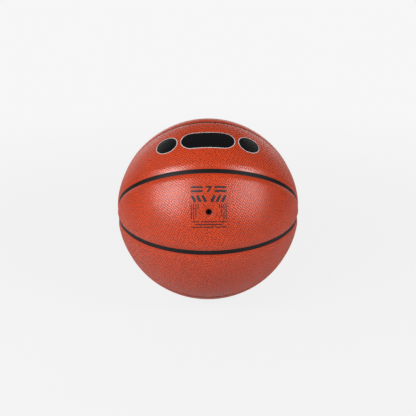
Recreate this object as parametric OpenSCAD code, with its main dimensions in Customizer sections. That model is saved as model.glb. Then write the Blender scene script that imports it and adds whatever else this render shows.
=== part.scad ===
// A full-size composite basketball, in millimetres.
// The origin is the ball's centre and +Z is up. The level seam is the ring, in the plane z = 0. The hoop is the
// upright seam, in the plane y = 0. The caps point along -Y and +Y, and the valve faces the front, which is -Y.

/* [Ball] */
// Diameter over the crests of the cover panels
ball_d = 241; // [232:0.5:246]
// Tilt of a loop's long arcs from the plane of the ring
loop_tilt = 45.5; // [42:0.5:50]
// Angle along the ring from the middle of a cap to the centre of a loop's end arc
loop_end = 60; // [54:0.5:62]

/* [Layers] */
// Thickness of the composite cover panels at their crests
cover_t = 2; // [1.6:0.1:2.6]
// Thickness of the foam pads under the panels
pad_t = 1.2; // [0.8:0.1:2]
// Thickness of the rubber carcass
carcass_t = 1.1; // [0.8:0.1:2]
// Thickness of the nylon winding
winding_t = 0.7; // [0.5:0.1:1.4]
// Thickness of the butyl bladder
bladder_t = 0.8; // [0.6:0.1:1.6]
// Thickness of each glue line
glue_t = 0.1; // [0.05:0.01:0.2]

/* [Channels] */
// Width of the black rubber rib that shows between two panels
rib_w = 5.2; // [4:0.1:6.4]
// Height of the rib over its side flanges
rib_h = 0.4; // [0.2:0.05:0.6]
// Width of each side flange, which carries the edge of a panel
flange_w = 2.6; // [1.6:0.1:3]
// Width over which a panel's shoulder rolls down to the channel
roll_w = 5; // [4:0.1:6]
// Thickness that is left at a panel's edge
edge_t = 0.5; // [0.45:0.05:0.8]
// Angle at which a shoulder leaves the crest
shoulder_a = 5; // [4:0.5:8]

/* [Valve] */
// Angle of the valve above the ring
valve_el = 23; // [20:0.5:26]
// Diameter of the needle's way through the core
needle_d = 2; // [1.6:0.1:2.4]
// Diameter of the core's head, which shows in the cover
head_d = 6; // [5:0.1:7]
// Depth of the head's face below the crest
head_sink = 0.5; // [0.2:0.1:1]
// Width of the lead-in round the needle's way
lead_w = 0.6; // [0.3:0.1:0.8]
// Clearance round the head in the cover's hole
head_gap = 0.15; // [0.1:0.05:0.4]
// Diameter of the core's shank
shank_d = 4.4; // [4:0.1:4.8]
// Diameter of the bulb that keeps the core in its housing
bulb_d = 6.4; // [5.6:0.1:7.2]
// Length of the bulb, with its two tapers
bulb_l = 4.2; // [3.6:0.1:5]
// Length of the core from its face to its tip
core_l = 13; // [11:0.5:16]
// Clearance between the core and its housing
core_gap = 0.05; // [0.03:0.01:0.1]
// Wall of the valve housing round the bulb
housing_wall = 1.4; // [1:0.1:2]
// Thickness of the housing's closed end
housing_end = 1.6; // [1.2:0.1:2.4]
// Space between the core's tip and the closed end
pocket_l = 2; // [1:0.1:3]
// Length of the slit in the closed end
slit_l = 3; // [2:0.1:4]
// Width of the slit in the closed end
slit_w = 0.2; // [0.1:0.05:0.4]
// Diameter of the housing's root flange
root_d = 26; // [20:0.5:32]
// Thickness of the housing's root flange
root_t = 1; // [0.6:0.1:1.6]
// Diameter of the reinforcing patch
patch_d = 36; // [30:0.5:44]
// Thickness of the reinforcing patch
patch_t = 0.6; // [0.4:0.1:1]
// Clearance of the housing's neck in the layers that it passes
neck_gap = 0.15; // [0.1:0.05:0.3]

/* [Hidden] */
$fn = 120;

// Overrun of every cut, and how far a partial turn overruns the piece that it cuts
over = 1;
lap_a = 2;

// Colours of the materials
cover_colour = "#BF5A44";
channel_colour = "#232122";
pad_colour = "#E4DCCB";
carcass_colour = "#4A4743";
winding_colour = "#EFEADD";
bladder_colour = "#2E2E31";
valve_colour = "#1B1A1B";
patch_colour = "#3B3A3D";

// Turns that bring a front upper piece to each quarter of the ball
front_upper = [0, 0, 0];
front_lower = [0, 180, 0];
back_upper = [0, 0, 180];
back_lower = [180, 0, 0];

// Radii of the layers, from the crests inwards
ball_r = ball_d / 2;
cover_r = ball_r - cover_t;
pad_r = cover_r - glue_t;
pad_in_r = pad_r - pad_t;
carcass_r = pad_in_r - glue_t;
carcass_in_r = carcass_r - carcass_t;
winding_r = carcass_in_r - glue_t;
winding_in_r = winding_r - winding_t;
bladder_r = winding_in_r - glue_t;
bladder_in_r = bladder_r - bladder_t;
patch_r = bladder_in_r - glue_t;
root_r = patch_r - patch_t - glue_t;

// A loop's end arc is a small circle round a centre on the ring. Its angular radius, the half angle of the long
// arc up to where the two are tangent, and the turn of half an end arc follow from the tilt and that centre.
end_a = asin(sin(loop_tilt) * cos(loop_end));
long_a = atan2(sin(loop_end), cos(loop_tilt) * cos(loop_end));
turn_a = atan(1 / (sin(loop_end) * tan(loop_tilt)));

// Half widths in the section of a channel
rib_half = rib_w / 2;
flange_half = rib_half + flange_w;
pad_half = flange_half + glue_t;
edge_half = rib_half + glue_t;
crest_half = edge_half + roll_w;
rib_r = pad_r + rib_h;

// The shoulder is an arc from the panel's edge to its crest, steeper than the crest by the shoulder's angle
function on_sphere(r, half) = [sqrt(r * r - half * half), half];
edge_p = on_sphere(cover_r + edge_t, edge_half);
crest_p = on_sphere(ball_r, crest_half);
crest_a = asin(crest_half / ball_r);
crest_n = [cos(crest_a - shoulder_a), sin(crest_a - shoulder_a)];
chord = crest_p - edge_p;
shoulder_r = (chord * chord) / (2 * (chord * crest_n));
shoulder_c = crest_p - shoulder_r * crest_n;
// Past the crest the arc stands over the sphere by a hair, most at this half width, where the cut ends
groove_half = (norm(shoulder_c) + shoulder_r) * shoulder_c[1] / norm(shoulder_c);

// Heights and radii along the valve's axis, from the ball's centre
head_top = ball_r - head_sink;
head_base = pad_r;
tip_h = head_top - core_l;
bulb_top = tip_h + bulb_l;
pocket_h = tip_h - pocket_l;
housing_h = pocket_h - housing_end;
head_r = head_d / 2;
shank_r = shank_d / 2;
bulb_r = bulb_d / 2;
needle_r = needle_d / 2;
neck_r = bulb_r + core_gap + housing_wall;

// Half of a ring's section that lies within a half width of the middle of a channel
module zone(r_in, r_out, half) {
    intersection() {
        difference() {
            circle(r_out);
            circle(r_in);
        }
        translate([0, -half]) square([ball_d, 2 * half]);
    }
}

// Section of a channel strip: the rib between two panels, and the flanges that carry their edges
module strip_section(gap) {
    zone(pad_in_r - gap, pad_r + gap, flange_half + gap);
    zone(pad_in_r - gap, rib_r + gap, rib_half + gap);
}

// Section of a cut right through the layers
module through_section(half) {
    zone(pad_in_r - over, ball_r + over, half);
}

// Section that a channel takes out of the cover, with a rolled shoulder on each side
module cover_groove() {
    difference() {
        translate([shoulder_c[0], -groove_half]) square([ball_r + over - shoulder_c[0], 2 * groove_half]);
        translate(shoulder_c) circle(shoulder_r);
        mirror([0, 1]) translate(shoulder_c) circle(shoulder_r);
    }
    translate([cover_r - over, -edge_half]) square([cover_t + 2 * over, 2 * edge_half]);
}

// Sweeps of a section along the seams, as far as they border the front upper quarter or its right half
module along_ring() {
    rotate_extrude(start = -90 - lap_a, angle = 90 + 2 * lap_a) children();
}

module along_hoop(lap) {
    rotate([90, 0, 0]) rotate_extrude(start = -lap, angle = 180 + 2 * lap) children();
}

// Turns +Z to the centre of a loop's end arc, and the half plane y = 0, x > 0 to where both arcs meet
module at_loop_end() {
    rotate([0, 0, loop_end - 90]) rotate([0, 90, 0]) rotate([0, 0, 90 + turn_a]) children();
}

// Turns z = 0 to the plane of the long arc, with the loop's inside above it and the end arc's side at y < 0
module at_long_arc() {
    at_loop_end() rotate([0, end_a - 90, 0]) children();
}

module along_end_arc(lap) {
    at_loop_end() mirror([0, 1, 0]) rotate_extrude(start = -lap, angle = lap + turn_a + lap_a)
        rotate(90 - end_a) children();
}

module along_long_arc(lap) {
    at_long_arc() rotate_extrude(start = -lap, angle = lap + long_a + lap_a) children();
}

module end_cone(margin) {
    at_loop_end() translate([0, 0, -margin / sin(end_a)]) cylinder(h = ball_d, r1 = 0, r2 = ball_d * tan(end_a));
}

// Leave what lies inside or outside of the front loop, over the ring and right of the middle. Its bounds are a plane
// along the long arc and a cone round the end arc, both a margin outside the seam.
module inside_loop(margin) {
    difference() {
        difference() {
            children();
            at_long_arc() translate([-ball_d, -ball_d, -ball_d - margin]) cube([2 * ball_d, 2 * ball_d, ball_d]);
        }
        difference() {
            at_long_arc() translate([-ball_d, -ball_d, -ball_d]) cube([2 * ball_d, ball_d, 2 * ball_d]);
            end_cone(margin);
        }
    }
}

module outside_loop(margin) {
    difference() {
        difference() {
            children();
            at_long_arc() translate([-ball_d, 0, -margin]) cube([2 * ball_d, ball_d, ball_d]);
        }
        end_cone(margin);
    }
}

// One eighth of a hollow sphere, right of the middle, in front and above the ring
module eighth(r_in, r_out) {
    rotate([0, 90, 0]) rotate_extrude(start = 180, angle = 90) difference() {
        intersection() {
            circle(r_out);
            square(ball_d);
        }
        circle(r_in);
    }
}

module both_sides() {
    children();
    mirror([1, 0, 0]) children();
}

// A band of one layer along the loop
module loop_band(r_in, r_out, half) {
    outside_loop(-half) inside_loop(half) eighth(r_in, r_out);
}

// The cover's eighth, with the ring's and the loop's channels cut out of it one after the other. Where two arcs
// meet, one cut runs on past the other's start, on the side where it then only goes through what is cut away.
module cover_eighth(long_lap, end_lap) {
    difference() {
        difference() {
            difference() {
                eighth(cover_r, ball_r);
                along_ring() cover_groove();
            }
            along_long_arc(long_lap) cover_groove();
        }
        along_end_arc(end_lap) cover_groove();
    }
}

// The valve's axis as +Z
module at_valve() {
    rotate([90 - valve_el, 0, 0]) children();
}

module valve_hole(r) {
    at_valve() translate([0, 0, bladder_in_r - root_d / 2]) cylinder(h = ball_r + over - bladder_in_r + root_d / 2, r = r);
}

module hollow_sphere(r_in, r_out) {
    difference() {
        sphere(r_out);
        sphere(r_in);
    }
}

// Sub-parts

module bladder() {
    color(bladder_colour) difference() {
        hollow_sphere(bladder_in_r, bladder_r);
        valve_hole(neck_r + neck_gap);
    }
}

// Disc that spreads the pull of the valve over the bladder's inside
module valve_patch() {
    color(patch_colour) at_valve() rotate_extrude() intersection() {
        difference() {
            circle(patch_r);
            circle(patch_r - patch_t);
        }
        translate([neck_r + neck_gap, 0]) square([patch_d / 2 - neck_r - neck_gap, ball_r]);
    }
}

// Moulded pot that keeps the core: its neck reaches up to the cover, and its closed end has a slit
module valve_housing() {
    color(valve_colour) at_valve() difference() {
        rotate_extrude() {
            intersection() {
                circle(pad_r);
                translate([0, housing_h]) square([neck_r, ball_r]);
            }
            intersection() {
                difference() {
                    circle(root_r);
                    circle(root_r - root_t);
                }
                square([root_d / 2, ball_r]);
            }
        }
        translate([0, 0, pocket_h]) cylinder(h = bulb_top + core_gap - pocket_h, r = bulb_r + core_gap);
        translate([0, 0, pocket_h]) cylinder(h = ball_r, r = shank_r + core_gap);
        translate([-slit_l / 2, -slit_w / 2, housing_h - over]) cube([slit_l, slit_w, housing_end + 2 * over]);
    }
}

// Soft plug that a needle passes: a head in the cover's hole, a shank and a bulb that locks in the housing
module valve_core() {
    color(valve_colour) at_valve() rotate_extrude() polygon([
        [needle_r, tip_h],
        [shank_r, tip_h],
        [bulb_r, tip_h + bulb_l / 3],
        [bulb_r, bulb_top],
        [shank_r, bulb_top],
        [shank_r, head_base + core_gap],
        [head_r, head_base + core_gap],
        [head_r, head_top],
        [needle_r + lead_w, head_top],
        [needle_r, head_top - lead_w]
    ]);
}

module nylon_winding() {
    color(winding_colour) difference() {
        hollow_sphere(winding_in_r, winding_r);
        valve_hole(neck_r + neck_gap);
    }
}

module carcass() {
    color(carcass_colour) difference() {
        hollow_sphere(carcass_in_r, carcass_r);
        valve_hole(neck_r + neck_gap);
    }
}

// Rubber strips of the channels. The ring runs whole, and the others stop against it.
module channel_ring() {
    color(channel_colour) rotate_extrude() strip_section(0);
}

module hoop_half(turn) {
    color(channel_colour) rotate(turn) difference() {
        along_hoop(0) strip_section(0);
        rotate_extrude() strip_section(glue_t);
    }
}

module loop_half(turn) {
    color(channel_colour) rotate(turn) both_sides() difference() {
        union() {
            loop_band(pad_in_r, pad_r, flange_half);
            loop_band(pad_in_r, rib_r, rib_half);
        }
        along_ring() strip_section(glue_t);
    }
}

module channel_hoop_upper() hoop_half(front_upper);
module channel_hoop_lower() hoop_half(back_lower);
module channel_loop_front_upper() loop_half(front_upper);
module channel_loop_front_lower() loop_half(front_lower);
module channel_loop_back_upper() loop_half(back_upper);
module channel_loop_back_lower() loop_half(back_lower);

// Foam pads, one under each panel. A cap's quarter lies between the loop and the ring, and a strip's between the
// loop and the hoop, where it narrows to an end at the ring on each side.
module cap_pad(turn) {
    color(pad_colour) rotate(turn) both_sides() inside_loop(-pad_half) difference() {
        eighth(pad_in_r, pad_r);
        along_ring() through_section(pad_half);
    }
}

module strip_pad(turn) {
    color(pad_colour) rotate(turn) difference() {
        both_sides() outside_loop(pad_half) difference() {
            eighth(pad_in_r, pad_r);
            along_ring() through_section(pad_half);
        }
        along_hoop(lap_a) through_section(pad_half);
    }
}

module pad_cap_front_upper() difference() {
    cap_pad(front_upper);
    valve_hole(neck_r + neck_gap);
}
module pad_cap_front_lower() cap_pad(front_lower);
module pad_cap_back_upper() cap_pad(back_upper);
module pad_cap_back_lower() cap_pad(back_lower);
module pad_strip_front_upper() strip_pad(front_upper);
module pad_strip_front_lower() strip_pad(front_lower);
module pad_strip_back_upper() strip_pad(back_upper);
module pad_strip_back_lower() strip_pad(back_lower);

// Cover panels, each with its shoulders rolled down to the channels
module cap_panel(turn) {
    color(cover_colour) rotate(turn) both_sides() inside_loop(0) cover_eighth(lap_a, 0);
}

module strip_panel(turn) {
    color(cover_colour) rotate(turn) difference() {
        both_sides() outside_loop(0) cover_eighth(0, lap_a);
        along_hoop(lap_a) cover_groove();
    }
}

module panel_cap_front_upper() difference() {
    cap_panel(front_upper);
    valve_hole(head_r + head_gap);
}
module panel_cap_front_lower() cap_panel(front_lower);
module panel_cap_back_upper() cap_panel(back_upper);
module panel_cap_back_lower() cap_panel(back_lower);
module panel_strip_front_upper() strip_panel(front_upper);
module panel_strip_front_lower() strip_panel(front_lower);
module panel_strip_back_upper() strip_panel(back_upper);
module panel_strip_back_lower() strip_panel(back_lower);

bladder();
valve_patch();
valve_housing();
valve_core();
nylon_winding();
carcass();
channel_ring();
channel_hoop_upper();
channel_hoop_lower();
channel_loop_front_upper();
channel_loop_front_lower();
channel_loop_back_upper();
channel_loop_back_lower();
pad_cap_front_upper();
pad_cap_front_lower();
pad_cap_back_upper();
pad_cap_back_lower();
pad_strip_front_upper();
pad_strip_front_lower();
pad_strip_back_upper();
pad_strip_back_lower();
panel_cap_front_upper();
panel_cap_front_lower();
panel_cap_back_upper();
panel_cap_back_lower();
panel_strip_front_upper();
panel_strip_front_lower();
panel_strip_back_upper();
panel_strip_back_lower();
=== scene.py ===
import math

import bmesh
import bpy
import numpy as np
from mathutils import Matrix, Vector
from mathutils.geometry import delaunay_2d_cdt


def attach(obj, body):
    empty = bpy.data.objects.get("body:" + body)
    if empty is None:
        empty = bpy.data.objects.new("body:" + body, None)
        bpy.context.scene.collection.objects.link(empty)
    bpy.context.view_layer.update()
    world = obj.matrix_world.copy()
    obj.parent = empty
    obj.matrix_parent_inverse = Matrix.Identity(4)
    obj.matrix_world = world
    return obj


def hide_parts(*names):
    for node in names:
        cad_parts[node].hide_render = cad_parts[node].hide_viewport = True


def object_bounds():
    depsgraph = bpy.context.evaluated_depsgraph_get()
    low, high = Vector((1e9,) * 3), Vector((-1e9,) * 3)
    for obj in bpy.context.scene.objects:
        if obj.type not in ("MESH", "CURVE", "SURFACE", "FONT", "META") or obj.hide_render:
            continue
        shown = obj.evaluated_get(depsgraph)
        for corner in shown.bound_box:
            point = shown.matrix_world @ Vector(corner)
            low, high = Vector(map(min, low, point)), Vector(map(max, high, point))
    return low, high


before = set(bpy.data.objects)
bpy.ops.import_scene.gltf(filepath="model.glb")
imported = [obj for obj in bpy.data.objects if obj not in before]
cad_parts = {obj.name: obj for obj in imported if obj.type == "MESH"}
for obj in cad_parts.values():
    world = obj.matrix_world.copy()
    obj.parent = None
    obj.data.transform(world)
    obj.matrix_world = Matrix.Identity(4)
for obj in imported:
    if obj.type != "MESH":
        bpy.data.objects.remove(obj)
cad_box = [list(corner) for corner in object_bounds()]


# Camera
# The photograph looks at the front of the ball from a little above, close enough for perspective to show.
# The valve is just right of the picture's middle, and the ball sits a hair low and turned.
MM = 0.001
CAMERA_RISE = math.radians(24.63)
CAMERA_LEFT = math.radians(0.45)
CAMERA_TURN = math.radians(0.4)
CAMERA_DISTANCE = 632.6 * MM
IMAGE_PIXELS = 416
FOCAL_PIXELS = 466.2
LOW_PIXELS = 0.82
SENSOR_WIDTH = 36
CLIP_NEAR = 10 * MM
CLIP_FAR = 50

camera_data = bpy.data.cameras.new("camera")
camera_data.sensor_width = SENSOR_WIDTH
camera_data.lens = SENSOR_WIDTH * FOCAL_PIXELS / IMAGE_PIXELS
camera_data.shift_y = LOW_PIXELS / IMAGE_PIXELS
camera_data.clip_start = CLIP_NEAR
camera_data.clip_end = CLIP_FAR
camera = bpy.data.objects.new("camera", camera_data)
bpy.context.scene.collection.objects.link(camera)
camera_way = Vector((-math.sin(CAMERA_LEFT) * math.cos(CAMERA_RISE),
                     -math.cos(CAMERA_LEFT) * math.cos(CAMERA_RISE), math.sin(CAMERA_RISE)))
camera_place = camera_way * CAMERA_DISTANCE
camera.matrix_world = (Matrix.Translation(camera_place)
                       @ (-camera_place).to_track_quat("-Z", "Y").to_matrix().to_4x4()
                       @ Matrix.Rotation(-CAMERA_TURN, 4, "Z"))
bpy.context.scene.camera = camera


# Bladder and patch
# The bladder is a thin butyl balloon that holds the air. It is dipped and cured, matt black with the mould's
# talc still on it, and a disc of the same rubber is cured on inside, round the valve.
TALC_PATCH = 14 * MM
# A mould's grain is finer than this, and is drawn as coarse as it needs to be to show, on every rubber here
BUTYL_GRAIN = 0.5 * MM
BUTYL_DEPTH = 0.03 * MM
RUBBER_SPREAD = 0.06
# Most of a noise texture's values lie between these, and bloom and talc show between the next two
NOISE_LEAST = 0.3
NOISE_MOST = 0.7
BLOOM_LEAST = 0.35
BLOOM_MOST = 0.75


def linear(code):
    """Turns an sRGB hex colour to the linear values that shaders take."""
    shares = [int(code[i:i + 2], 16) / 255 for i in (1, 3, 5)]
    return [s / 12.92 if s <= 0.04045 else ((s + 0.055) / 1.055) ** 2.4 for s in shares] + [1]


def add(tree, kind, inputs=None, **settings):
    """Adds one node, with its settings, and gives each of its inputs a value or another node's output."""
    made = tree.nodes.new(kind)
    for name, value in settings.items():
        setattr(made, name, value)
    for place, value in (inputs or {}).items():
        if isinstance(value, bpy.types.NodeSocket):
            tree.links.new(value, made.inputs[place])
        else:
            made.inputs[place].default_value = value
    return made


def new_material(name):
    material = bpy.data.materials.new(name)
    material.use_nodes = True
    material.node_tree.nodes.clear()
    return material, material.node_tree


def dress(nodes, material):
    """Gives CAD nodes that keep their shape a better material."""
    for name in nodes:
        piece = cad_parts[name]
        for slot in piece.material_slots:
            slot.material = material
        if not piece.material_slots:
            piece.data.materials.append(material)


def rubber(name, dark, pale, patch, grain, roughness, depth, ior=1.5):
    """Cured rubber: a colour that bloom or talc lightens in soft patches, and a fine grain from the mould."""
    material, tree = new_material(name)
    place = add(tree, "ShaderNodeTexCoord").outputs["Object"]
    bloom = add(tree, "ShaderNodeTexNoise", {"Vector": place, "Scale": 1 / patch, "Detail": 4.0}).outputs[0]
    speck = add(tree, "ShaderNodeTexNoise", {"Vector": place, "Scale": 1 / grain, "Detail": 3.0}).outputs[0]
    share = add(tree, "ShaderNodeMapRange", {0: bloom, 1: BLOOM_LEAST, 2: BLOOM_MOST}).outputs[0]
    colour = add(tree, "ShaderNodeMix", {0: share, 6: linear(dark), 7: linear(pale)},
                 data_type="RGBA").outputs[2]
    rough = add(tree, "ShaderNodeMapRange", {
        0: speck, 1: NOISE_LEAST, 2: NOISE_MOST,
        3: roughness - RUBBER_SPREAD, 4: roughness + RUBBER_SPREAD})
    relief = add(tree, "ShaderNodeBump", {"Height": speck, "Strength": 0.5, "Distance": depth})
    shader = add(tree, "ShaderNodeBsdfPrincipled", {
        "Base Color": colour, "Roughness": rough.outputs[0], "IOR": ior, "Normal": relief.outputs[0]})
    add(tree, "ShaderNodeOutputMaterial", {"Surface": shader.outputs[0]})
    return material


# Butyl, dipped and cured: matt, almost black, with pale talc in soft patches
butyl = rubber("butyl_dipped_talced", "#242427", "#4A4A4D", TALC_PATCH, BUTYL_GRAIN, 0.72, BUTYL_DEPTH)
dress(["bladder", "valve_patch"], butyl)


# Valve
# A moulded rubber pot holds the air inlet, and a soft plug is pushed into it. Only the plug's round head
# shows, in a hole in the cover. It is lubricated, so it is a little glossier than the rest.
SULPHUR_BLOOM = 3 * MM
MOULD_GRAIN = 0.25 * MM
MOULD_DEPTH = 0.02 * MM

# Natural rubber from a mould is dull and nearly black, with a pale bloom of sulphur. The oiled plug is a
# deeper black, with a soft gloss.
pot_rubber = rubber(
    "natural_rubber_moulded", "#1D1C1E", "#343235", SULPHUR_BLOOM, MOULD_GRAIN, 0.6, MOULD_DEPTH)
plug_rubber = rubber(
    "soft_rubber_moulded_oiled", "#060608", "#0D0D10", SULPHUR_BLOOM, MOULD_GRAIN, 0.3, MOULD_DEPTH, 1.36)
dress(["valve_housing"], pot_rubber)
dress(["valve_core"], plug_rubber)


# Winding
# Nylon yarn, wound round the bladder in every direction and set in latex, keeps the ball round. The turns are
# thin and cross at random, so the shell looks like a fine pale web.

# Real yarn is less than half a millimetre thick, and is drawn coarser so that its turns show
YARN_PITCH = 1.6 * MM
YARN_RELIEF = 0.2 * MM
YARN_LAYERS = [(0, 0, 0), (1.1, 0.3, 0.5), (0.5, 1.2, 1.0), (1.8, 0.9, 0.2)]

# Yarn in latex: cream, with darker gaps. A wave texture's bands repeat every tau / 20 of its scaled length.
winding, tree = new_material("nylon_yarn_wound_in_latex")
place = add(tree, "ShaderNodeTexCoord").outputs["Object"]
height = None
for turn in YARN_LAYERS:
    turned = add(tree, "ShaderNodeMapping", {"Vector": place, "Rotation": turn}).outputs[0]
    yarn = add(tree, "ShaderNodeTexWave", {
        "Vector": turned, "Scale": math.tau / 20 / YARN_PITCH, "Distortion": 1.5, "Detail": 1.0},
        bands_direction="Z").outputs["Fac"]
    height = yarn if height is None else add(
        tree, "ShaderNodeMath", {0: height, 1: yarn}, operation="MAXIMUM").outputs[0]
share = add(tree, "ShaderNodeMapRange", {0: height, 1: 0.4, 2: 1.0}).outputs[0]
colour = add(tree, "ShaderNodeMix", {0: share, 6: linear("#B9AE93"), 7: linear("#EFEADD")}, data_type="RGBA")
relief = add(tree, "ShaderNodeBump", {"Height": height, "Strength": 0.8, "Distance": YARN_RELIEF})
rough = add(tree, "ShaderNodeMapRange", {0: height, 3: 0.35, 4: 0.6}).outputs[0]
shader = add(tree, "ShaderNodeBsdfPrincipled", {
    "Base Color": colour.outputs[2], "Roughness": rough, "Normal": relief.outputs[0]})
add(tree, "ShaderNodeOutputMaterial", {"Surface": shader.outputs[0]})
dress(["nylon_winding"], winding)


# Carcass
# A shell of grey-brown rubber is moulded over the winding, and takes up the air's load with it. It is cured
# in a round mould, so it is smooth, with a dull bloom.
CARCASS_BLOOM = 30 * MM
CARCASS_GRAIN = 0.8 * MM
CARCASS_DEPTH = 0.04 * MM

# A blend of natural and synthetic rubber, with chalk in it: dull grey-brown, a little paler in patches
carcass_rubber = rubber(
    "blended_rubber_moulded", "#433F3A", "#5E5952", CARCASS_BLOOM, CARCASS_GRAIN, 0.66, CARCASS_DEPTH)
dress(["carcass"], carcass_rubber)


# Channels
# The black lines are strips of rubber, moulded on to the carcass. A rib stands between two panels, and thin
# flanges run under their edges. The ring is whole, and the hoop and the two loops stop against it.
CHANNEL_BLOOM = 18 * MM
CHANNEL_GRAIN = 0.35 * MM
CHANNEL_DEPTH = 0.03 * MM

# Rubber filled with carbon black, cured in a smooth mould: a deep, nearly matt black, with a faint bloom
channel_rubber = rubber(
    "black_rubber_moulded_matt", "#08090B", "#111215", CHANNEL_BLOOM, CHANNEL_GRAIN, 0.5, CHANNEL_DEPTH, 1.37)
dress([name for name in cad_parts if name.startswith("channel_")], channel_rubber)


# Pads
# A pad of closed-cell foam lies under each panel and makes the grip soft. It is sliced from a block, so its
# face shows the cut cells, and its colour is a raw cream.

# Real cells are less than half as wide, and are drawn coarser so that they show
FOAM_CELL = 0.9 * MM
FOAM_DEPTH = 0.25 * MM
FOAM_AGE = 25 * MM

# Sliced foam is dry and matt, with a small pit in each cut cell, and its walls yellow in patches as it ages
foam, tree = new_material("foam_sliced")
place = add(tree, "ShaderNodeTexCoord").outputs["Object"]
cell = add(tree, "ShaderNodeTexVoronoi", {"Vector": place, "Scale": 1 / FOAM_CELL}).outputs["Distance"]
age = add(tree, "ShaderNodeTexNoise", {"Vector": place, "Scale": 1 / FOAM_AGE, "Detail": 3.0}).outputs[0]
share = add(tree, "ShaderNodeMath", {0: cell, 1: age}, operation="MULTIPLY").outputs[0]
colour = add(tree, "ShaderNodeMix", {0: share, 6: linear("#E9E1CF"), 7: linear("#CDBF9F")}, data_type="RGBA")
rough = add(tree, "ShaderNodeMapRange", {0: cell, 3: 0.75, 4: 0.9}).outputs[0]
relief = add(tree, "ShaderNodeBump", {"Height": cell, "Strength": 0.7, "Distance": FOAM_DEPTH})
shader = add(tree, "ShaderNodeBsdfPrincipled", {
    "Base Color": colour.outputs[2], "Roughness": rough, "Normal": relief.outputs[0]})
add(tree, "ShaderNodeOutputMaterial", {"Surface": shader.outputs[0]})
dress([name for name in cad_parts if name.startswith("pad_")], foam)


# Cover panels
# Eight panels of composite leather, a microfibre cloth with a skin of polyurethane, are cut out, their edges
# rolled down to the channels, and glued on. The skin is embossed with thousands of small round pebbles.

# A panel's crest, back and edge, half the gap between two panels, and the roll of an edge and of a corner
BALL_R = 120.5 * MM
COVER_BACK_R = 118.5 * MM
EDGE_R = 119 * MM
EDGE_HALF = 2.7 * MM
ROLL_WIDTH = 6.5 * MM
ROLL_ANGLE = math.radians(5)
CORNER_ROUND = 3 * MM
# A loop's long arc is tilted up from the ring, and its end arcs turn round points on the ring
LOOP_TILT = math.radians(45.5)
LOOP_END = math.radians(60)
# The valve's hole, and how its rim rounds down
VALVE_RISE = math.radians(23)
VALVE_HOLE_R = 3.15 * MM
HOLE_ROLL = 0.9 * MM
HOLE_DROP = 0.15 * MM
# Pebbles grow to their full height within the fade's width from an edge, and differ a little
PEBBLE_PITCH = 2.6 * MM
PEBBLE_WIDTH = 2.75 * MM
PEBBLE_HEIGHT = 0.22 * MM
PEBBLE_FADE = 3.4 * MM
PEBBLE_SHAKE_SHARE = 0.08
PEBBLE_TOP_SHARE = 0.35
PEBBLE_LEAST_SHARE = 0.93
PEBBLE_MOST_SHARE = 1.03
SETTLING_STEPS = 8
SEED = 7
# The share of the pebbles' top colour, which is painted paler as a highlight, on a smooth edge
EDGE_TONE = 0.37
# How fine the skin's and the back's spheres are, and how far inside the edge the back's own places stay
SKIN_LEVEL = 9
BACK_LEVEL = 5
BACK_MARGIN = 6 * MM
# How far outside the edge a place still is the panel's, as a share of the skin's step, and how far the
# centre of one of the back's faces may be
SNAP_SHARE = 0.3
OUTSIDE_SLACK = 0.02 * MM
# The move on to an edge: its steps, how far each feels ahead, the least slope, and a way along no seam
ONTO_EDGE_STEPS = 5
FEELER = 1e-5
LEAST_SLOPE = 1e-12
ASKEW = [0.31, 0.52, 0.79]
# Places of the back, drawn flat, that are nearer than this are one
SAME_PLACE = 1e-9

# Where a loop runs: its long arc's plane, its end arc's centre and radius, and the plane where the two meet
end_angle = math.asin(math.sin(LOOP_TILT) * math.cos(LOOP_END))
long_angle = math.atan2(math.sin(LOOP_END), math.cos(LOOP_TILT) * math.cos(LOOP_END))
end_centre = np.array([math.sin(LOOP_END), -math.cos(LOOP_END), 0])
long_inward = np.array([0, -math.sin(LOOP_TILT), -math.cos(LOOP_TILT)])
long_middle = np.array([0, -math.cos(LOOP_TILT), math.sin(LOOP_TILT)])
arcs_meet = math.cos(long_angle) * long_middle + math.sin(long_angle) * np.array([1, 0, 0])
meet_plane = np.cross(arcs_meet, end_centre)
meet_plane *= np.sign(meet_plane @ long_middle)
valve_axis = np.array([0, -math.cos(VALVE_RISE), math.sin(VALVE_RISE)])

# The rolled shoulder is an arc from a panel's edge to its crest
edge_point = np.array([math.sqrt(EDGE_R ** 2 - EDGE_HALF ** 2), EDGE_HALF])
crest_half = EDGE_HALF + ROLL_WIDTH
crest_point = np.array([math.sqrt(BALL_R ** 2 - crest_half ** 2), crest_half])
crest_lean = math.asin(crest_half / BALL_R) - ROLL_ANGLE
crest_normal = np.array([math.cos(crest_lean), math.sin(crest_lean)])
chord = crest_point - edge_point
shoulder_r = (chord @ chord) / (2 * chord @ crest_normal)
shoulder_centre = crest_point - shoulder_r * crest_normal


def soft_least(a, b, width):
    """The lesser of two depths, rounded where they are nearly alike, which rounds a panel's corners."""
    share = np.clip(0.5 + (b - a) / (2 * width), 0, 1)
    return b + (a - b) * share - width * share * (1 - share)


def depth_inside(kind, places):
    """How far directions lie inside the edges of a cap's or strip's panel, in metres along the ball."""
    folded = np.abs(places) * [1, -1, 1]
    ring = folded[:, 2]
    hoop = -folded[:, 1]
    end_arc = np.sin(end_angle - np.arccos(np.clip(folded @ end_centre, -1, 1)))
    loop = np.where(folded @ meet_plane > 0, folded @ long_inward, end_arc)
    reach = (BALL_R + EDGE_R) / 2
    borders = [ring, loop] if kind == "cap" else [ring, -loop, hoop]
    depth = borders[0] * reach - EDGE_HALF
    for border in borders[1:]:
        depth = soft_least(depth, border * reach - EDGE_HALF, CORNER_ROUND)
    return depth


def depth_beside_hole(places):
    """How far directions lie outside the valve's hole, in metres along the ball."""
    return np.arccos(np.clip(places @ valve_axis, -1, 1)) * BALL_R - VALVE_HOLE_R


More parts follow.
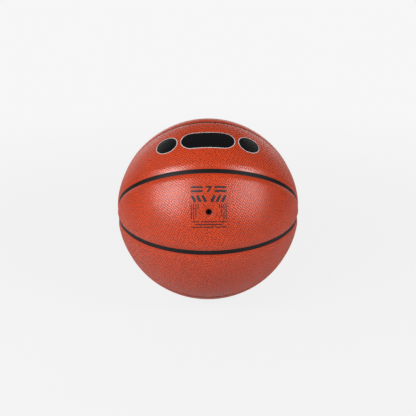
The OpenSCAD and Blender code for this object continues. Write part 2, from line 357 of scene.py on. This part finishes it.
def crest_radius(depth, beside_hole):
    """The radius of the pebbles' tops. It falls along a panel's shoulder, and at the valve's hole."""
    half = EDGE_HALF + np.clip(depth, 0, ROLL_WIDTH)
    along = shoulder_centre[0] + np.sqrt(shoulder_r ** 2 - (half - shoulder_centre[1]) ** 2)
    radius = np.where(depth < ROLL_WIDTH, np.minimum(np.hypot(along, half), BALL_R), BALL_R)
    return radius - HOLE_DROP * np.clip(1 - beside_hole / HOLE_ROLL, 0, 1) ** 2


def sphere_mesh(level):
    """Directions and triangles of an even sphere."""
    shape = bmesh.new()
    bmesh.ops.create_icosphere(shape, subdivisions=level, radius=1)
    mesh = bpy.data.meshes.new("sphere")
    shape.to_mesh(mesh)
    shape.free()
    places = np.empty(len(mesh.vertices) * 3)
    mesh.vertices.foreach_get("co", places)
    corners = np.empty(len(mesh.loops), int)
    mesh.loops.foreach_get("vertex_index", corners)
    bpy.data.meshes.remove(mesh)
    places = places.reshape(-1, 3)
    return places / np.linalg.norm(places, axis=1)[:, None], corners.reshape(-1, 3)


def open_edges(triangles):
    """The edges that only one triangle has, in that triangle's direction."""
    edges = np.concatenate([triangles[:, [0, 1]], triangles[:, [1, 2]], triangles[:, [2, 0]]])
    keys = edges[:, 0] * (triangles.max() + 1) + edges[:, 1]
    back = edges[:, 1] * (triangles.max() + 1) + edges[:, 0]
    return edges[~np.isin(keys, back)]


def onto_edge(places, depth_at):
    """Moves directions near a panel's edge on to it."""
    for _ in range(ONTO_EDGE_STEPS):
        side = np.cross(places, ASKEW)
        side /= np.linalg.norm(side, axis=1)[:, None]
        up = np.cross(places, side)
        here = depth_at(places)
        slope_side = (depth_at(places + FEELER * side) - here) / FEELER
        slope_up = (depth_at(places + FEELER * up) - here) / FEELER
        steep = np.maximum(slope_side ** 2 + slope_up ** 2, LEAST_SLOPE)
        places = places - (here / steep)[:, None] * (slope_side[:, None] * side + slope_up[:, None] * up)
        places /= np.linalg.norm(places, axis=1)[:, None]
    return places


def panel_shell(name, depth_at, beside_hole_at, middle, places, triangles, sparse):
    """Builds a panel as a closed shell: the dense skin, its edge and a plain back."""
    inside = depth_at(places) > -SNAP_SHARE * skin_step
    inside &= places @ middle > 0
    kept = triangles[inside[triangles].all(axis=1)]
    while True:
        border = open_edges(kept)
        found, count = np.unique(border[:, 0], return_counts=True)
        knots = found[count > 1]
        if not len(knots):
            break
        kept = kept[~np.isin(kept, knots).any(axis=1)]
    used, kept = np.unique(kept, return_inverse=True)
    kept = kept.reshape(-1, 3)
    skin = places[used]
    border = open_edges(kept)
    rim = border[:, 0]
    skin[rim] = onto_edge(skin[rim], depth_at)

    depth = np.maximum(depth_at(skin), 0)
    fade = np.clip(depth / PEBBLE_FADE, 0, 1)
    fade = fade * fade * (3 - 2 * fade)
    fade[rim] = 0
    radius = crest_radius(depth, beside_hole_at(skin)) - PEBBLE_HEIGHT * fade

    # The back is drawn flat, from the rim and a few places inside it, and laid on the ball again
    back_rim = np.full(len(skin), -1)
    back_rim[rim] = np.arange(len(rim))
    inner = sparse[(depth_at(sparse) > BACK_MARGIN) & (sparse @ middle > 0)]
    back = np.concatenate([skin[rim], inner])
    side = np.cross([1.0, 0, 0], middle)
    side /= np.linalg.norm(side)
    other = np.cross(middle, side)
    flat = np.stack([back @ side, back @ other], 1) / (1 + back @ middle)[:, None]
    fixed = [(int(back_rim[a]), int(back_rim[b])) for a, b in border]
    _, _, faces, source, _, _ = delaunay_2d_cdt([Vector(p) for p in flat], fixed, [], 1, SAME_PLACE)
    faces = np.array([[source[corner][0] for corner in face] for face in faces])
    centre = back[faces].mean(axis=1)
    centre /= np.linalg.norm(centre, axis=1)[:, None]
    within = depth_at(centre) > -OUTSIDE_SLACK
    faces, centre = faces[within], centre[within]
    turned = np.einsum("ij,ij->i", np.cross(back[faces[:, 1]] - back[faces[:, 0]],
                                            back[faces[:, 2]] - back[faces[:, 0]]), centre) > 0
    faces[turned] = faces[turned][:, ::-1]

    start, end = border[:, 0], border[:, 1]
    low_start, low_end = back_rim[start] + len(skin), back_rim[end] + len(skin)
    wall = np.concatenate([np.stack([end, start, low_start], 1), np.stack([end, low_start, low_end], 1)])
    corners = np.concatenate([skin * radius[:, None], back * COVER_BACK_R])
    mesh = bpy.data.meshes.new(name)
    faces = np.concatenate([kept, wall, faces + len(skin)])
    mesh.from_pydata(corners.tolist(), [], faces.tolist(), shade_flat=False)
    grain = mesh.attributes.new("grain", "FLOAT", "POINT")
    grain.data.foreach_set("value", np.concatenate([fade, np.zeros(len(back))]).astype(np.float32))
    edges = np.empty(len(mesh.edges) * 2, int)
    mesh.edges.foreach_get("vertices", edges)
    on_rim = np.isin(edges, np.concatenate([rim, np.arange(len(rim)) + len(skin)])).reshape(-1, 2).all(axis=1)
    sharp = mesh.attributes.new("sharp_edge", "BOOLEAN", "EDGE")
    sharp.data.foreach_set("value", on_rim)
    piece = bpy.data.objects.new(name, mesh)
    bpy.context.scene.collection.objects.link(piece)
    return piece


def pebble_tree():
    """Raises pebbles from a panel's skin. Their centres are spread over the whole ball and pushed apart."""
    tree = bpy.data.node_groups.new("embossed_pebbles", "GeometryNodeTree")
    tree.interface.new_socket("Geometry", in_out="INPUT", socket_type="NodeSocketGeometry")
    for name, kind in (("Ball radius", "Float"), ("Pebble pitch", "Float"), ("Pebble width", "Float"),
                       ("Pebble height", "Float"), ("Edge tone", "Float"), ("Settling steps", "Int"),
                       ("Seed", "Int"), ("Material", "Material")):
        tree.interface.new_socket(name, in_out="INPUT", socket_type="NodeSocket" + kind)
    tree.interface.new_socket("Geometry", in_out="OUTPUT", socket_type="NodeSocketGeometry")
    given = add(tree, "NodeGroupInput").outputs
    radius, pitch, width = given["Ball radius"], given["Pebble pitch"], given["Pebble width"]

    # As many centres as fill the ball in a close pack, on a spiral along X, whose poles lie where seams cross
    ratio = add(tree, "ShaderNodeMath", {0: radius, 1: pitch}, operation="DIVIDE").outputs[0]
    square = add(tree, "ShaderNodeMath", {0: ratio, 1: 2.0}, operation="POWER").outputs[0]
    count = add(tree, "ShaderNodeMath", {0: square, 1: 8 * math.pi / math.sqrt(3)},
                operation="MULTIPLY").outputs[0]
    index = add(tree, "GeometryNodeInputIndex").outputs[0]
    middle = add(tree, "ShaderNodeMath", {0: index, 1: 0.5}, operation="ADD").outputs[0]
    share = add(tree, "ShaderNodeMath", {0: middle, 1: count}, operation="DIVIDE").outputs[0]
    level = add(tree, "ShaderNodeMath", {0: share, 1: -2.0, 2: 1.0}, operation="MULTIPLY_ADD").outputs[0]
    left = add(tree, "ShaderNodeMath", {0: level, 1: level}, operation="MULTIPLY").outputs[0]
    left = add(tree, "ShaderNodeMath", {0: 1.0, 1: left}, operation="SUBTRACT").outputs[0]
    out = add(tree, "ShaderNodeMath", {0: left}, operation="SQRT").outputs[0]
    golden = add(tree, "ShaderNodeMath", {0: index, 1: math.pi * (3 - math.sqrt(5))},
                 operation="MULTIPLY").outputs[0]
    east = add(tree, "ShaderNodeMath", {0: golden}, operation="COSINE").outputs[0]
    north = add(tree, "ShaderNodeMath", {0: golden}, operation="SINE").outputs[0]
    east = add(tree, "ShaderNodeMath", {0: east, 1: out}, operation="MULTIPLY").outputs[0]
    north = add(tree, "ShaderNodeMath", {0: north, 1: out}, operation="MULTIPLY").outputs[0]
    spiral = add(tree, "ShaderNodeCombineXYZ", {0: level, 1: east, 2: north}).outputs[0]
    spiral = add(tree, "ShaderNodeVectorMath", {0: spiral, "Scale": radius}, operation="SCALE").outputs[0]
    centres = add(tree, "GeometryNodePoints", {"Count": count, "Position": spiral}).outputs[0]
    shake = add(tree, "FunctionNodeRandomValue", {0: (-1, -1, -1), 1: (1, 1, 1), "Seed": given["Seed"]},
                data_type="FLOAT_VECTOR").outputs[0]
    reach = add(tree, "ShaderNodeMath", {0: pitch, 1: PEBBLE_SHAKE_SHARE}, operation="MULTIPLY").outputs[0]
    shake = add(tree, "ShaderNodeVectorMath", {0: shake, "Scale": reach}, operation="SCALE").outputs[0]
    centres = add(tree, "GeometryNodeSetPosition", {"Geometry": centres, "Offset": shake}).outputs[0]

    # Each step moves a centre away from its nearest neighbour, if that is nearer than the pitch
    enter = add(tree, "GeometryNodeRepeatInput")
    leave = add(tree, "GeometryNodeRepeatOutput")
    enter.pair_with_output(leave)
    tree.links.new(given["Settling steps"], enter.inputs["Iterations"])
    tree.links.new(centres, enter.inputs["Geometry"])
    here = add(tree, "GeometryNodeInputPosition").outputs[0]
    nearest = add(tree, "GeometryNodeIndexOfNearest", {"Position": here}).outputs[0]
    there = add(tree, "GeometryNodeFieldAtIndex", {"Value": here, "Index": nearest},
                data_type="FLOAT_VECTOR", domain="POINT").outputs[0]
    away = add(tree, "ShaderNodeVectorMath", {0: here, 1: there}, operation="SUBTRACT").outputs[0]
    gap = add(tree, "ShaderNodeVectorMath", {0: away}, operation="LENGTH").outputs["Value"]
    short = add(tree, "ShaderNodeMath", {0: pitch, 1: gap}, operation="SUBTRACT").outputs[0]
    short = add(tree, "ShaderNodeMath", {0: short, 1: 0.0}, operation="MAXIMUM").outputs[0]
    short = add(tree, "ShaderNodeMath", {0: short, 1: 0.5}, operation="MULTIPLY").outputs[0]
    away = add(tree, "ShaderNodeVectorMath", {0: away}, operation="NORMALIZE").outputs[0]
    push = add(tree, "ShaderNodeVectorMath", {0: away, "Scale": short}, operation="SCALE").outputs[0]
    moved = add(tree, "GeometryNodeSetPosition", {
        "Geometry": enter.outputs["Geometry"], "Offset": push}).outputs[0]
    outward = add(tree, "ShaderNodeVectorMath", {0: here}, operation="NORMALIZE").outputs[0]
    on_ball = add(tree, "ShaderNodeVectorMath", {0: outward, "Scale": radius}, operation="SCALE").outputs[0]
    moved = add(tree, "GeometryNodeSetPosition", {"Geometry": moved, "Position": on_ball}).outputs[0]
    tree.links.new(moved, leave.inputs["Geometry"])
    centres = leave.outputs["Geometry"]

    # Each place on the skin rises by how near it lies to its pebble's centre. Pebbles differ a bit in size.
    nearest = add(tree, "GeometryNodeSampleNearest", {"Geometry": centres, "Sample Position": on_ball},
                  domain="POINT").outputs[0]
    centre = add(tree, "GeometryNodeSampleIndex", {"Geometry": centres, "Value": here, "Index": nearest},
                 data_type="FLOAT_VECTOR", domain="POINT").outputs[0]
    sizes = add(tree, "FunctionNodeRandomValue", {
        2: PEBBLE_LEAST_SHARE, 3: PEBBLE_MOST_SHARE, "Seed": given["Seed"]}, data_type="FLOAT").outputs[1]
    size = add(tree, "GeometryNodeSampleIndex", {"Geometry": centres, "Value": sizes, "Index": nearest},
               data_type="FLOAT", domain="POINT").outputs[0]
    gap = add(tree, "ShaderNodeVectorMath", {0: on_ball, 1: centre}, operation="DISTANCE").outputs["Value"]
    half = add(tree, "ShaderNodeMath", {0: width, 1: size}, operation="MULTIPLY").outputs[0]
    half = add(tree, "ShaderNodeMath", {0: half, 1: 0.5}, operation="MULTIPLY").outputs[0]
    share = add(tree, "ShaderNodeMath", {0: gap, 1: half}, operation="DIVIDE").outputs[0]
    rise = add(tree, "ShaderNodeMapRange", {0: share, 1: 1.0, 2: PEBBLE_TOP_SHARE},
               interpolation_type="SMOOTHSTEP").outputs[0]
    grain = add(tree, "GeometryNodeInputNamedAttribute", {"Name": "grain"}, data_type="FLOAT").outputs[0]
    rise = add(tree, "ShaderNodeMath", {0: rise, 1: size}, operation="MULTIPLY", use_clamp=True).outputs[0]
    rise = add(tree, "ShaderNodeMath", {0: rise, 1: grain}, operation="MULTIPLY").outputs[0]
    smooth = add(tree, "ShaderNodeMath", {0: 1.0, 1: grain}, operation="SUBTRACT").outputs[0]
    smooth = add(tree, "ShaderNodeMath", {0: smooth, 1: given["Edge tone"]}, operation="MULTIPLY").outputs[0]
    top = add(tree, "ShaderNodeMath", {0: smooth, 1: rise}, operation="ADD").outputs[0]

    # The rise is stored for the material, and read back, so that it is worked out only once
    # The material reads this share to paint the valleys darker, as painted shade, and the tops paler, as a
    # painted highlight
    skin = add(tree, "GeometryNodeStoreNamedAttribute", {
        "Geometry": given["Geometry"], "Name": "pebble", "Value": top},
        data_type="FLOAT", domain="POINT").outputs[0]
    kept = add(tree, "GeometryNodeInputNamedAttribute", {"Name": "pebble"}, data_type="FLOAT").outputs[0]
    rise = add(tree, "ShaderNodeMath", {0: kept, 1: smooth}, operation="SUBTRACT").outputs[0]
    lift = add(tree, "ShaderNodeMath", {0: rise, 1: given["Pebble height"]}, operation="MULTIPLY").outputs[0]
    lift = add(tree, "ShaderNodeVectorMath", {0: outward, "Scale": lift}, operation="SCALE").outputs[0]
    skin = add(tree, "GeometryNodeSetPosition", {"Geometry": skin, "Offset": lift}).outputs[0]
    skin = add(tree, "GeometryNodeRealizeInstances", {"Geometry": skin}).outputs[0]
    skin = add(tree, "GeometryNodeSetMaterial", {"Geometry": skin, "Material": given["Material"]}).outputs[0]
    add(tree, "NodeGroupOutput", {"Geometry": skin})
    return tree


# Composite leather: a polyurethane skin, embossed with pebbles and sprayed brick orange. Their tops are
# smoother and the valleys between them duller. The tops are painted paler, as a painted highlight, and the
# valleys darker, as painted shade.
MOTTLE = 26 * MM
# The skin's real pores are finer, and are drawn as coarse as they need to be to show
PORE = 0.32 * MM
# Painted highlight and painted shade: the pebbles' tops take the paler colour and their valleys the darker
# one
LIT_TOP_COLOUR = "#E44D21"
SHADED_VALLEY_COLOUR = "#87230D"
TOP_ROUGHNESS = 0.26
VALLEY_ROUGHNESS = 0.42
PORE_DEPTH = 0.03 * MM
# How far the mottle and the pores change the skin's colour and its gloss
MOTTLE_SHARE = 0.06
PORE_SHARE = 0.05
GLOSS_SPREAD = 0.04
COVER_IOR = 1.54
# The row of bar and spots: its rise, its bow, which grows with the square of the way across, and the soft
# edge and the outline of its ink
ROW_RISE = math.radians(67)
ROW_BOW = 0.8
PRINT_EDGE = 0.08 * MM
OUTLINE_WIDTH = 0.9 * MM
# Strokes in millimetres: half widths, the bar's end and a spot's two ends
ROW_HALF = 13.5
RULE_HALF = 0.55
BAR_END = 18.5
SPOT_START = 51
SPOT_END = 52


def cover_material(name, printed=None):
    """The skin. A print takes the tree and a place, and gives each ink's share, colour and roughness."""
    material, tree = new_material(name)
    place = add(tree, "ShaderNodeTexCoord").outputs["Object"]
    pebble = add(tree, "ShaderNodeAttribute", attribute_name="pebble").outputs["Fac"]
    mottle = add(tree, "ShaderNodeTexNoise", {"Vector": place, "Scale": 1 / MOTTLE, "Detail": 4.0}).outputs[0]
    pore = add(tree, "ShaderNodeTexNoise", {"Vector": place, "Scale": 1 / PORE, "Detail": 2.0}).outputs[0]
    # The pebble share mixes painted shade into the valleys and a painted highlight on to the tops
    colour = add(tree, "ShaderNodeMix", {0: pebble, 6: linear(SHADED_VALLEY_COLOUR), 7: linear(LIT_TOP_COLOUR)},
                 data_type="RGBA").outputs[2]
    shade = add(tree, "ShaderNodeMapRange", {
        0: mottle, 1: NOISE_LEAST, 2: NOISE_MOST, 3: 1 - MOTTLE_SHARE, 4: 1 + MOTTLE_SHARE}).outputs[0]
    fine = add(tree, "ShaderNodeMapRange", {
        0: pore, 1: NOISE_LEAST, 2: NOISE_MOST, 3: 1 - PORE_SHARE, 4: 1 + PORE_SHARE}).outputs[0]
    shade = add(tree, "ShaderNodeMath", {0: shade, 1: fine}, operation="MULTIPLY").outputs[0]
    colour = add(tree, "ShaderNodeVectorMath", {0: colour, "Scale": shade}, operation="SCALE").outputs[0]
    rough = add(tree, "ShaderNodeMapRange", {0: pebble, 3: VALLEY_ROUGHNESS, 4: TOP_ROUGHNESS}).outputs[0]
    wander = add(tree, "ShaderNodeMapRange", {
        0: pore, 1: NOISE_LEAST, 2: NOISE_MOST, 3: -GLOSS_SPREAD, 4: GLOSS_SPREAD}).outputs[0]
    rough = add(tree, "ShaderNodeMath", {0: rough, 1: wander}, operation="ADD").outputs[0]
    for share, ink, gloss in (printed(tree, place) if printed else ()):
        colour = add(tree, "ShaderNodeMix", {0: share, 6: colour, 7: linear(ink)},
                     data_type="RGBA").outputs[2]
        rough = add(tree, "ShaderNodeMix", {0: share, 2: rough, 3: gloss}, data_type="FLOAT").outputs[0]
    relief = add(tree, "ShaderNodeBump", {
        "Height": pore, "Strength": 0.35, "Distance": PORE_DEPTH}).outputs[0]
    shader = add(tree, "ShaderNodeBsdfPrincipled", {
        "Base Color": colour, "Roughness": rough, "IOR": COVER_IOR, "Normal": relief})
    add(tree, "ShaderNodeOutputMaterial", {"Surface": shader.outputs[0]})
    return material


def on_panel(tree, place, rise):
    """Lays the cover flat round a point on the ball's front, as the panel lay when it was printed."""
    faced = add(tree, "ShaderNodeMapping", {"Vector": place, "Rotation": (rise, 0, 0)}).outputs[0]
    part = add(tree, "ShaderNodeSeparateXYZ", {0: faced}).outputs
    deep = add(tree, "ShaderNodeMath", {0: BALL_R, 1: part[1]}, operation="SUBTRACT").outputs[0]
    spread = add(tree, "ShaderNodeMath", {0: 2 * BALL_R, 1: deep}, operation="DIVIDE").outputs[0]
    across = add(tree, "ShaderNodeMath", {0: part[0], 1: spread}, operation="MULTIPLY").outputs[0]
    up = add(tree, "ShaderNodeMath", {0: part[2], 1: spread}, operation="MULTIPLY").outputs[0]
    return across, up


def stroke(tree, flat, start, end, half):
    """How far a place is outside a round-ended stroke, whose ends and half width are in millimetres."""
    start, run = Vector((*start, 0)) * MM, Vector((end[0] - start[0], end[1] - start[1], 0)) * MM
    from_start = add(tree, "ShaderNodeVectorMath", {0: flat, 1: start}, operation="SUBTRACT").outputs[0]
    along = add(tree, "ShaderNodeVectorMath", {0: from_start, 1: run / run.length_squared},
                operation="DOT_PRODUCT").outputs["Value"]
    along = add(tree, "ShaderNodeMath", {0: along, 1: 0.0}, operation="ADD", use_clamp=True).outputs[0]
    reached = add(tree, "ShaderNodeVectorMath", {0: run, "Scale": along}, operation="SCALE").outputs[0]
    away = add(tree, "ShaderNodeVectorMath", {0: from_start, 1: reached},
               operation="DISTANCE").outputs["Value"]
    return add(tree, "ShaderNodeMath", {0: away, 1: half * MM}, operation="SUBTRACT").outputs[0]


def inked(tree, distances, grown=0):
    """The share of ink where the nearest of some strokes, grown by a margin, covers a place."""
    nearest = distances[0]
    for distance in distances[1:]:
        nearest = add(tree, "ShaderNodeMath", {0: nearest, 1: distance}, operation="MINIMUM").outputs[0]
    return add(tree, "ShaderNodeMapRange", {
        0: nearest, 1: grown + PRINT_EDGE, 2: grown - PRINT_EDGE}).outputs[0]


def row_print(tree, place):
    """A black bar between two round spots, each with a thin pale outline, bowed along the panel."""
    across, up = on_panel(tree, place, ROW_RISE)
    bow = add(tree, "ShaderNodeMath", {0: across, 1: across}, operation="MULTIPLY").outputs[0]
    bow = add(tree, "ShaderNodeMath", {0: bow, 1: -ROW_BOW, 2: up}, operation="MULTIPLY_ADD").outputs[0]
    either = add(tree, "ShaderNodeMath", {0: across}, operation="ABSOLUTE").outputs[0]
    flat = add(tree, "ShaderNodeCombineXYZ", {0: either, 1: bow}).outputs[0]
    shapes = [stroke(tree, flat, (0, 0), (BAR_END, 0), ROW_HALF),
              stroke(tree, flat, (SPOT_START, 0), (SPOT_END, 0), ROW_HALF)]
    return (inked(tree, shapes, OUTLINE_WIDTH), "#C9C8C8", 0.5), (inked(tree, shapes), "#050508", 0.28)


def valve_print(tree, place):
    """The size number over the valve, with bars and slanted marks, and thin rules round the valve.

    Bars, marks and rules are given for one side, in millimetres from the valve, and mirrored to the other.
    """
    across, up = on_panel(tree, place, VALVE_RISE)
    either = add(tree, "ShaderNodeMath", {0: across}, operation="ABSOLUTE").outputs[0]
    whole = add(tree, "ShaderNodeCombineXYZ", {0: across, 1: up}).outputs[0]
    half = add(tree, "ShaderNodeCombineXYZ", {0: either, 1: up}).outputs[0]
    number = [((-2.8, 28.2), (2.8, 28.2), 0.95), ((2.8, 28.2), (-0.9, 22.6), 0.95)]
    bars = [((7.6, 27.8), (19.3, 27.8), 1.15), ((7.6, 23.2), (19.3, 23.2), 1.15)]
    marks = [((3.6, 12.2), (6.2, 17.2), 1.5), ((9.6, 12.2), (12.2, 17.2), 1.5),
             ((15.6, 12.2), (18.2, 17.2), 1.5)]
    rules = [((19.3, 8.6), (19.3, -8)), ((16.8, 8.6), (16.8, 2)), ((16.8, -0.6), (16.8, -8)),
             ((14.3, 8.6), (14.3, -5)), ((11.8, 8.6), (11.8, 4.4)), ((0, -11), (9, -11)),
             ((11.4, -11), (19.3, -11)), ((0, -14), (15, -14)), ((0, -17), (5, -17)),
             ((7.4, -17), (19.3, -17))]
    shapes = [stroke(tree, whole, *part) for part in number]
    shapes += [stroke(tree, half, *part) for part in bars + marks]
    shapes += [stroke(tree, half, start, end, RULE_HALF) for start, end in rules]
    return ((inked(tree, shapes), "#151317", 0.45),)


plain_cover = cover_material("composite_leather_embossed")
covers = {"strip_front_upper": cover_material("composite_leather_row_printed", row_print),
          "cap_front_upper": cover_material("composite_leather_valve_printed", valve_print)}
pebbles = pebble_tree()
skin_places, skin_triangles = sphere_mesh(SKIN_LEVEL)
skin_step = math.sqrt(16 * math.pi / math.sqrt(3) / len(skin_triangles)) * BALL_R
back_places, _ = sphere_mesh(BACK_LEVEL)
for kind, tilt in (("cap", LOOP_TILT / 2), ("strip", (math.pi / 2 + LOOP_TILT) / 2)):
    for facing, forward in (("front", -1), ("back", 1)):
        for level, up in (("upper", 1), ("lower", -1)):
            label = f"{kind}_{facing}_{level}"
            with_hole = label == "cap_front_upper"

            def beside_hole_at(places, with_hole=with_hole):
                return depth_beside_hole(places) if with_hole else np.full(len(places), BALL_R)

            def depth_at(places, kind=kind):
                return np.minimum(depth_inside(kind, places), beside_hole_at(places))

            middle = np.array([0, forward * math.cos(tilt), up * math.sin(tilt)])
            own_quarter = (skin_places[:, 1] * forward > 0) & (skin_places[:, 2] * up > 0)
            own = own_quarter[skin_triangles].all(axis=1)
            own_back = (back_places[:, 1] * forward > 0) & (back_places[:, 2] * up > 0)
            panel = panel_shell("cover_" + label, depth_at, beside_hole_at, middle, skin_places,
                                skin_triangles[own], back_places[own_back])
            grow = panel.modifiers.new("pebbles", "NODES")
            grow.node_group = pebbles
            sizes = {"Ball radius": BALL_R, "Pebble pitch": PEBBLE_PITCH, "Pebble width": PEBBLE_WIDTH,
                     "Pebble height": PEBBLE_HEIGHT, "Edge tone": EDGE_TONE,
                     "Settling steps": SETTLING_STEPS, "Seed": SEED,
                     "Material": covers.get(label, plain_cover)}
            for item in pebbles.interface.items_tree:
                if item.in_out == "INPUT" and item.name in sizes:
                    grow[item.identifier] = sizes[item.name]
            depsgraph = bpy.context.evaluated_depsgraph_get()
            raised = bpy.data.meshes.new_from_object(
                panel.evaluated_get(depsgraph), preserve_all_data_layers=True, depsgraph=depsgraph)
            panel.modifiers.clear()
            panel.data = raised
            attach(panel, "root")
            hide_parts("panel_" + label)


# Floor and light
# A plain pale floor and a dim white room fill the shadows. Two soft boxes in front, to the left and the right
# and a little above, give the two broad highlights beside the valve, and three weaker ones behind light the
# back. The camera sees the floor mostly as plain paper, so it keeps only a faint shadow of the ball.
FLOOR_HALF = 6.0
PAPER = "#F6F6F6"
FLOOR_NEAR = 0.25
FLOOR_FAR = 1.3
PAPER_SHARE_NEAR = 0.91
ROOM_STRENGTH = 0.09
LAMP_DISTANCE = 1.2

# The floor touches the ball's lowest point
rest_z = cad_box[0][2]
floor_mesh = bpy.data.meshes.new("floor")
floor_corners = [(x * FLOOR_HALF, y * FLOOR_HALF, rest_z) for x, y in ((-1, -1), (1, -1), (1, 1), (-1, 1))]
floor_mesh.from_pydata(floor_corners, [], [(0, 1, 2, 3)])
floor = bpy.data.objects.new("floor", floor_mesh)
bpy.context.scene.collection.objects.link(floor)
paper, tree = new_material("matt_white_paper")
seen = add(tree, "ShaderNodeLightPath").outputs["Is Camera Ray"]
place = add(tree, "ShaderNodeTexCoord").outputs["Object"]
far = add(tree, "ShaderNodeVectorMath", {0: place}, operation="LENGTH").outputs["Value"]
far = add(tree, "ShaderNodeMapRange", {0: far, 1: FLOOR_NEAR, 2: FLOOR_FAR, 3: PAPER_SHARE_NEAR, 4: 1.0},
          interpolation_type="SMOOTHSTEP").outputs[0]
share = add(tree, "ShaderNodeMath", {0: seen, 1: far}, operation="MULTIPLY").outputs[0]
lit = add(tree, "ShaderNodeBsdfDiffuse", {"Color": linear("#D0D0D0")})
plain = add(tree, "ShaderNodeEmission", {"Color": linear(PAPER), "Strength": 1.0})
shader = add(tree, "ShaderNodeMixShader", {0: share, 1: lit.outputs[0], 2: plain.outputs[0]})
add(tree, "ShaderNodeOutputMaterial", {"Surface": shader.outputs[0]})
floor_mesh.materials.append(paper)

world = bpy.data.worlds.new("room")
world.use_nodes = True
world.node_tree.nodes.clear()
seen = add(world.node_tree, "ShaderNodeLightPath").outputs["Is Camera Ray"]
room = add(world.node_tree, "ShaderNodeBackground", {"Color": linear("#FFFFFF"), "Strength": ROOM_STRENGTH})
paper_far = add(world.node_tree, "ShaderNodeBackground", {"Color": linear(PAPER), "Strength": 1.0})
shown = add(world.node_tree, "ShaderNodeMixShader", {0: seen, 1: room.outputs[0], 2: paper_far.outputs[0]})
add(world.node_tree, "ShaderNodeOutputWorld", {"Surface": shown.outputs[0]})
bpy.context.scene.world = world

# Each lamp's name, its angle from the front to the right and its rise in degrees, its width and height in
# metres, and its power in watts
SOFT_BOXES = [("soft_box_left", -50, 33, 0.37, 0.47, 11.4),
              ("soft_box_right", 53, 31, 0.3, 0.44, 7.7),
              ("soft_box_back_left", -150, 12, 0.9, 0.7, 1.6),
              ("soft_box_back_right", 150, 12, 0.9, 0.7, 1.3),
              ("soft_box_back", 180, 10, 1.4, 0.5, 1.8)]
for name, side, rise, width, height, power in SOFT_BOXES:
    lamp_data = bpy.data.lights.new(name, "AREA")
    lamp_data.shape = "RECTANGLE"
    lamp_data.size = width
    lamp_data.size_y = height
    lamp_data.energy = power
    lamp = bpy.data.objects.new(name, lamp_data)
    side, rise = math.radians(side), math.radians(rise)
    lamp.location = Vector((math.sin(side) * math.cos(rise), -math.cos(side) * math.cos(rise),
                            math.sin(rise))) * LAMP_DISTANCE
    lamp.rotation_euler = (-lamp.location).to_track_quat("-Z", "Y").to_euler()
    bpy.context.scene.collection.objects.link(lamp)

bpy.context.scene.view_settings.view_transform = "Standard"
